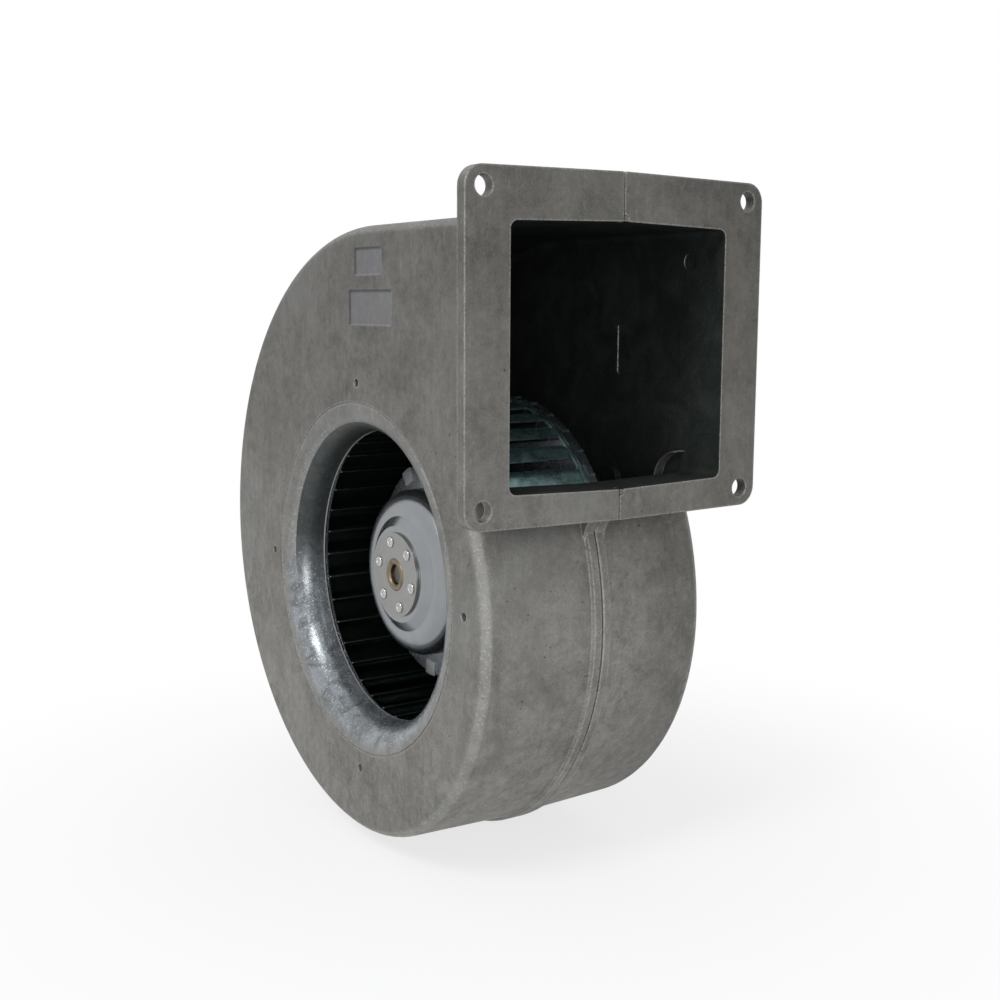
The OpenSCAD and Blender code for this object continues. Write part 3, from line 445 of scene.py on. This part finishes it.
finishes = {
    "casting_inlet": cast_aluminium("cast_inlet_half", nozzle=True),
    "casting": cast_aluminium("cast_motor_half"),
    "motor_casting": cast_aluminium("cast_motor_parts", shade=1.12),
    "blade": blade_sheet("zinc_coated_blades"),
    "plate": sheet_metal("zinc_coated_plate", (0.31, 0.335, 0.36), (0.14, 0.155, 0.17), 0.26),
    "cup": sheet_metal("satin_rotor", (0.30, 0.315, 0.325),
        (0.22, 0.235, 0.245), 0.21, spangle=0.03, lines=0.15),
    "rivet": sheet_metal("clinched_rivets", (0.52, 0.52, 0.51),
        (0.22, 0.22, 0.22), 0.16, 1.0, lines=0.1),
    "hub": sheet_metal("plated_hub", (0.33, 0.33, 0.32),
        (0.24, 0.24, 0.23), 0.40, spangle=0.04, lines=0.4),
    "zinc": turned_metal("zinc_fasteners", (0.66, 0.67, 0.68), 0.32, tarnish=(0.30, 0.29, 0.26)),
    "steel": turned_metal("ground_steel", (0.60, 0.60, 0.60), 0.24),
    # painted shade: the shaft is near black, as dark as its end sits in the bore of the bush
    "shaft": turned_metal("dark_shaft_painted_shade", (0.115, 0.105, 0.092),
        0.30, tarnish=(0.05, 0.04, 0.03), aged=0.5),
    "bearing": turned_metal("polished_steel", (0.78, 0.79, 0.80), 0.12, marks=0.1, aged=0.05),
    "bronze": turned_metal("sintered_bronze", (0.24, 0.20, 0.14),
        0.40, tarnish=(0.07, 0.055, 0.04), aged=0.6),
    "brass": turned_metal("pressed_brass", (0.72, 0.55, 0.26), 0.30),
    "ferrite": moulded("sintered_ferrite", (0.045, 0.045, 0.05), 0.6),
    "laminations": stacked_sheets("lamination_stack"),
    "insulator": moulded("insulator_nylon", (0.72, 0.68, 0.56), 0.45),
    "copper": enamelled_wire("enamelled_copper"),
    "board": board_laminate("circuit_board"),
    "component": moulded("moulded_black", (0.025, 0.025, 0.027), 0.45),
    "sleeve": moulded("capacitor_sleeve", (0.03, 0.035, 0.06), 0.30, texture=0.1),
    "connector": moulded("connector_white", (0.75, 0.73, 0.66), 0.40),
    "rubber": moulded("black_rubber", (0.022, 0.022, 0.022), 0.65, texture=0.8),
}

WEARS = {
    "casting_inlet": ["housing_inlet_half"],
    "casting": ["housing_motor_half"],
    "motor_casting": ["motor_flange", "motor_cover"],
    "blade": ["impeller_blades", "blade_bands"],
    "plate": ["impeller_front_ring", "impeller_back_plate"],
    "cup": ["rotor_cup"],
    "hub": ["rotor_hub_plate"],
    "rivet": ["hub_rivets"],
    "zinc": ["housing_screws", "motor_screws", "cover_screws", "board_screws", "balance_clips"],
    "shaft": ["rotor_shaft"],
    "steel": ["retaining_ring", "preload_washer"],
    "bearing": [f"{end}_bearing_{part}" for end in ("front", "rear")
                for part in ("outer_ring", "inner_ring", "balls")],
    "bronze": ["shaft_bush"],
    "brass": ["front_bearing_cage", "rear_bearing_cage"],
    "ferrite": ["rotor_magnet"],
    "laminations": ["stator_core"],
    "insulator": ["front_insulator", "rear_insulator"],
    "copper": ["coils", "phase_pins"],
    "board": ["hall_board", "main_board"],
    "component": ["hall_sensors", "power_transistors"],
    "sleeve": ["capacitors"],
    "connector": ["board_connector"],
    "rubber": ["cover_gasket", "lead_grommet"],
}
for finish, names in WEARS.items():
    for name in names:
        slots = cad[name].data.materials
        slots.clear()
        slots.append(finishes[finish])


# ---------- pieces that repeat ----------
class CopyTree(Tree):
    """Geometry Nodes: one template on every point, turned about the fan axis"""

    def __init__(self):
        self.group = bpy.data.node_groups.new("copies", "GeometryNodeTree")
        self.nodes, self.links = self.group.nodes, self.group.links
        face = self.group.interface
        face.new_socket("Points", in_out="INPUT", socket_type="NodeSocketGeometry")
        named = (("Template", "NodeSocketObject"), ("Spin", "NodeSocketFloat"),
                 ("Seed", "NodeSocketInt"), ("Finish", "NodeSocketMaterial"))
        self.inputs = {name: face.new_socket(name, in_out="INPUT", socket_type=kind).identifier
                       for name, kind in named}
        face.new_socket("Copies", in_out="OUTPUT", socket_type="NodeSocketGeometry")
        entry = self.nodes.new("NodeGroupInput")
        points, template, spin, seed, finish = (Wire(self, entry.outputs[i]) for i in range(5))
        shape = self.node("GeometryNodeObjectInfo", sockets={"Object": template}, out="Geometry")
        turn = self.node("GeometryNodeInputNamedAttribute", {"data_type": "FLOAT"}, {"Name": "turn"})
        chance = self.node("FunctionNodeRandomValue", {"data_type": "FLOAT"}, {
            2: 0.0, 3: 1.0, "Seed": seed}, out=1)
        angle = self.node("ShaderNodeCombineXYZ", sockets={0: turn + chance * spin, 1: 0.0, 2: 0.0})
        copies = self.node("GeometryNodeInstanceOnPoints", sockets={
            "Points": points, "Instance": shape, "Rotation": angle})
        real = self.node("GeometryNodeRealizeInstances", sockets={0: copies})
        worn = self.node("GeometryNodeSetMaterial", sockets={"Geometry": real, "Material": finish})
        self.links.new(worn.socket, self.nodes.new("NodeGroupOutput").inputs[0])


copy_tree = CopyTree()


def link(name, mesh):
    """New object in the scene"""
    piece = bpy.data.objects.new(name, mesh)
    bpy.context.scene.collection.objects.link(piece)
    return piece


def baked(piece):
    """The piece's mesh with its modifiers applied"""
    bpy.context.view_layer.update()
    depsgraph = bpy.context.evaluated_depsgraph_get()
    return bpy.data.meshes.new_from_object(piece.evaluated_get(depsgraph))


def copies(name, template, places, finish, spin=0.0, seed=1, sharp=35.0):
    """One piece made of the template on each (point, turn about X)"""
    cloud = bpy.data.meshes.new(name)
    cloud.from_pydata([p for p, _ in places], [], [])
    cloud.attributes.new("turn", "FLOAT", "POINT").data.foreach_set("value", [t for _, t in places])
    holder, pattern = link(name + "_points", cloud), link(name + "_pattern", template)
    work = holder.modifiers.new("copies", "NODES")
    work.node_group = copy_tree.group
    for key, value in (("Template", pattern), ("Spin", spin), ("Seed", seed),
                       ("Finish", finishes[finish])):
        work[copy_tree.inputs[key]] = value
    made = baked(holder)
    holder.modifiers.clear()
    for old in (holder, pattern):
        bpy.data.objects.remove(old)
    made.name = name
    made.shade_smooth()
    made.set_sharp_from_angle(angle=math.radians(sharp))
    if not made.materials:
        made.materials.append(finishes[finish])
    return link(name, made)


def prism(bm, outline, x0, x1):
    """Closed solid between x0 and x1 over an outline of (y, z) points in order"""
    ends = [[bm.verts.new((x * MM, y * MM, z * MM)) for y, z in outline] for x in (x0, x1)]
    n = len(outline)
    for i in range(n):
        j = (i + 1) % n
        bm.faces.new((ends[0][i], ends[0][j], ends[1][j], ends[1][i]))
    bm.faces.new(ends[0][::-1])
    bm.faces.new(ends[1])


def lathe(bm, profile, steps=40):
    """Closed turned solid about X from (x, radius) points, radius 0 at both ends"""
    rings = []
    for x, r in profile:
        angles = [2 * math.pi * i / steps for i in range(steps)] if r else [0.0]
        rings.append([bm.verts.new((x * MM, r * MM * math.cos(a), r * MM * math.sin(a)))
                      for a in angles])
    for low, high in zip(rings, rings[1:]):
        for i in range(steps):
            j = (i + 1) % steps
            corners = [low[i % len(low)], low[j % len(low)],
                       high[j % len(high)], high[i % len(high)]]
            bm.faces.new([v for k, v in enumerate(corners) if v not in corners[:k]])


def closed(bm, name):
    """Mesh of what was built, its faces turned outwards"""
    bmesh.ops.recalc_face_normals(bm, faces=bm.faces)
    mesh = bpy.data.meshes.new(name)
    bm.to_mesh(mesh)
    bm.free()
    return mesh


def polar(r, degrees):
    """(y, z) at a radius and an angle"""
    return r * math.cos(math.radians(degrees)), r * math.sin(math.radians(degrees))


def polar_strip(r0, r1, a0, a1, steps):
    """Outline between two radii and two angles about the fan axis"""
    angles = [a0 + (a1 - a0) * i / steps for i in range(steps + 1)]
    return [polar(r1, a) for a in angles] + [polar(r0, a) for a in reversed(angles)]


# the impeller, in millimetres and degrees
BLADES = 37
BLADE_X = (-33.25, 22.75)
BAND = 4.55
WHEEL_R = 69.15
SHEET = 0.55
PITCH = 360 / BLADES


def blade_template():
    """One blade: rolled sheet from its inner edge to the tip, then a land along the rim"""
    bm = bmesh.new()
    centre, bend = (59.5, 11.0), 11.0
    start, sweep, steps = 270.0, 50.0, 12
    outer, inner = [], []
    for i in range(steps + 1):
        y, z = polar(1.0, start + sweep * i / steps)
        outer.append((centre[0] + (bend + SHEET / 2) * y, centre[1] + (bend + SHEET / 2) * z))
        inner.append((centre[0] + (bend - SHEET / 2) * y, centre[1] + (bend - SHEET / 2) * z))
    tip = math.degrees(math.atan2(outer[-1][1], outer[-1][0]))
    prism(bm, outer + inner[::-1], BLADE_X[0], BLADE_X[1])
    # the sheet rolls on into a land that lies on the wheel's rim between the bands
    rise, land_width = math.hypot(*outer[-1]), 6.6
    climb = WHEEL_R - 0.05 - rise
    land = [(rise + climb * math.sin(math.pi / 2 * min(1.0, t * 2.5)), tip - 0.3 + land_width * t)
            for t in (i / 10 for i in range(11))]
    lid = [polar(r, a) for r, a in land] + [polar(r - SHEET, a) for r, a in reversed(land)]
    prism(bm, lid, BLADE_X[0] + BAND, BLADE_X[1] - BAND)
    return closed(bm, "blade")


def tab_template():
    """Tab of a blade folded over the rim of the wheel: a step across it and a foot along it"""
    bm = bmesh.new()
    wheel_end, foot, top = 23.6, 69.6, 70.32
    prism(bm, polar_strip(foot, top, 3.2, 7.6, 6), wheel_end - 3.2, wheel_end - 1.9)
    prism(bm, polar_strip(foot, top, 6.5, 7.6, 3), wheel_end - 3.2, wheel_end + 0.7)
    return closed(bm, "tab")


def wheel_places(first=-0.9):
    """The fan axis once for each blade, turned by the blade's pitch"""
    return [((0, AXIS_Y, AXIS_Z), math.radians(first + i * PITCH)) for i in range(BLADES)]


def ring_places(x, radius, count, first):
    """Points on a circle about the fan axis, each with its angle"""
    angles = [math.radians(first + i * 360 / count) for i in range(count)]
    return [((x * MM, AXIS_Y + radius * MM * math.cos(a), AXIS_Z + radius * MM * math.sin(a)), a)
            for a in angles]


def rivet_template(head):
    """Clinched rivet: flattened ring with a punched middle, its foot in the hub plate"""
    bm = bmesh.new()
    r = head / 2
    lathe(bm, [(0.3, 0), (0.3, r * 0.55), (-0.02, r * 0.98), (-0.22, r), (-0.45, r * 0.93),
               (-0.60, r * 0.78), (-0.62, r * 0.62), (-0.50, r * 0.50), (-0.20, r * 0.44),
               (-0.12, r * 0.30), (-0.26, r * 0.12), (-0.28, 0)])
    return closed(bm, "rivet")


def screw_template(head_r, head_h, shank_r, shank_l):
    """Pan-head screw along X with a cross recess; the head stands on x = 0"""
    bm = bmesh.new()
    dome = [(head_h * math.cos(a * math.pi / 2 / 6) ** 0.5, head_r * math.sin(a * math.pi / 2 / 6))
            for a in range(6)]
    thread, thread_pitch = [], 0.8
    for i in range(int((shank_l - 0.8) / thread_pitch)):
        x = -shank_l + 0.6 + i * thread_pitch
        thread += [(x, shank_r - 0.25), (x + 0.4, shank_r)]
    profile = [(-shank_l, 0), (-shank_l, shank_r - 0.5)] + thread
    profile += [(-0.05, shank_r - 0.1), (0.0, head_r - 0.15), (0.15, head_r)]
    profile += [(max(0.2, x), r) for x, r in reversed(dome[1:])] + [(head_h, 0)]
    lathe(bm, profile, 36)
    body = link("screw_body", closed(bm, "screw"))
    bm = bmesh.new()
    long, wide, deep = head_r * 0.55, head_r * 0.11, head_h * 0.55
    cross = [(long, -wide), (long, wide), (wide, wide), (wide, long), (-wide, long), (-wide, wide),
             (-long, wide), (-long, -wide), (-wide, -wide), (-wide, -long), (wide, -long), (wide, -wide)]
    prism(bm, cross, head_h - deep, head_h + 1)
    cutter = link("screw_cutter", closed(bm, "cutter"))
    cut = body.modifiers.new("recess", "BOOLEAN")
    cut.operation, cut.solver, cut.object = "DIFFERENCE", "EXACT", cutter
    mesh = baked(body)
    for old in (body, cutter):
        bpy.data.objects.remove(old)
    mesh.materials.clear()
    return mesh


def put(piece, body, nodes):
    """Rides on a body and stands for the nodes, which it hides"""
    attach(piece, body)
    if nodes:
        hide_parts(*nodes)


def solid_boxes(node, count):
    """Lowest and highest corner of each solid of a node, from the mesh itself"""
    bm = bmesh.new()
    bm.from_mesh(cad[node].data)
    bmesh.ops.remove_doubles(bm, verts=bm.verts, dist=1e-6)
    left, found = set(bm.verts), []
    while left:
        group, edge = set(), [left.pop()]
        while edge:
            v = edge.pop()
            group.add(v)
            for e in v.link_edges:
                other = e.other_vert(v)
                if other in left:
                    left.discard(other)
                    edge.append(other)
        low = [min(v.co[k] for v in group) for k in range(3)]
        high = [max(v.co[k] for v in group) for k in range(3)]
        found.append((low, high))
    bm.free()
    assert len(found) == count, (node, len(found))
    return found


put(copies("blades", blade_template(), wheel_places(), "blade"),
    "rotor", ["impeller_blades"])
put(copies("blade_tabs", tab_template(), wheel_places(), "blade"), "rotor", [])
hub_face = ring_places(x=-33.7, radius=13.3, count=6, first=15.0)
put(copies("rivets", rivet_template(head=4.6), hub_face, "rivet", spin=6.0),
    "rotor", ["hub_rivets"])


def screws(name, node, count, head, shank, seed):
    """Screws standing where the solids of a node stand, each stopped at its own angle;
    head and shank are (radius, length)"""
    places = [((high[0] - head[1] * MM, (low[1] + high[1]) / 2, (low[2] + high[2]) / 2), 0.0)
              for low, high in solid_boxes(node, count)]
    put(copies(name, screw_template(*head, *shank), places, "zinc", spin=6.28, seed=seed),
        "housing", [node])


screws("housing_pan_screws", "housing_screws", 5, head=(3.6, 2.6), shank=(2.0, 9.0), seed=3)
screws("motor_pan_screws", "motor_screws", 4, head=(3.5, 2.6), shank=(2.0, 7.0), seed=5)
screws("cover_pan_screws", "cover_screws", 4, head=(2.9, 2.0), shank=(1.5, 7.0), seed=7)
screws("board_pan_screws", "board_screws", 3, head=(2.8, 1.8), shank=(1.5, 5.0), seed=9)


# ---------- studio ----------
def seen_directly(tree):
    """1 for what the camera sees, on its own or mirrored in the object"""
    rays = [tree.node("ShaderNodeLightPath", out=n)
            for n in ("Is Camera Ray", "Is Glossy Ray", "Is Transmission Ray")]
    first = tree.node("ShaderNodeMath", {"operation": "MAXIMUM"}, {0: rays[0], 1: rays[1]})
    return tree.node("ShaderNodeMath", {"operation": "MAXIMUM"}, {0: first, 1: rays[2]})


def build_floor(scene):
    """White sweep; it keeps the contact shadow and runs out into the white behind"""
    mesh = bpy.data.meshes.new("floor")
    reach, z = 6, cad_box[0].z - 0.0005
    corners = [(-reach, -reach, z), (reach, -reach, z), (reach, reach, z), (-reach, reach, z)]
    mesh.from_pydata(corners, [], [(0, 1, 2, 3)])
    floor = bpy.data.objects.new("floor", mesh)
    scene.collection.objects.link(floor)
    paper = Finish("floor_paper")
    fibre = paper.noise(0.4, 3.0)
    x, y, _ = paper.split(paper.place)
    y = y - 90.0
    far = ((x * x + y * y) ** 0.5).ramp(60.0, 330.0, 0.72, 1.0)
    lit = paper.node("ShaderNodeBsdfDiffuse", sockets={
        "Color": paper.blend(fibre * 0.04, (0.93, 0.93, 0.93), (0.88, 0.88, 0.87)), "Roughness": 0.5})
    white = paper.node("ShaderNodeEmission", sockets={"Color": (1, 1, 1, 1), "Strength": 1.0})
    both = paper.node("ShaderNodeMixShader", sockets={
        0: seen_directly(paper) * far, 1: lit, 2: white})
    paper.links.new(both.socket, paper.nodes.new("ShaderNodeOutputMaterial").inputs[0])
    mesh.materials.append(paper.material)


def build_studio():
    scene = bpy.context.scene
    scene.view_settings.view_transform = "Standard"
    build_floor(scene)

    world = bpy.data.worlds.new("studio")
    scene.world = world
    world.use_nodes = True
    tree = Tree()
    tree.nodes, tree.links = world.node_tree.nodes, world.node_tree.links
    tree.nodes.clear()
    soft = tree.node("ShaderNodeBackground", sockets={"Color": (0.96, 0.98, 1.0, 1), "Strength": 0.55})
    white = tree.node("ShaderNodeBackground", sockets={"Color": (1, 1, 1, 1), "Strength": 1.0})
    both = tree.node("ShaderNodeMixShader", sockets={0: seen_directly(tree), 1: soft, 2: white})
    tree.links.new(both.socket, tree.nodes.new("ShaderNodeOutputWorld").inputs[0])

    def lamp(name, size, power, at, towards):
        light = bpy.data.lights.new(name, "AREA")
        light.shape, light.size, light.energy = "DISK", size, power
        holder = bpy.data.objects.new(name, light)
        scene.collection.objects.link(holder)
        turn = (Vector(at) - Vector(towards)).to_track_quat("Z", "Y").to_matrix().to_4x4()
        holder.matrix_world = Matrix.Translation(at) @ turn

    middle = (0, 0.08, -0.08)
    lamp("lamp_over", 0.42, 4.6, (-0.80, -0.25, 0.72), middle)
    lamp("lamp_front", 0.45, 3.5, (-0.70, -0.98, 0.02), middle)


place_camera()
build_studio()
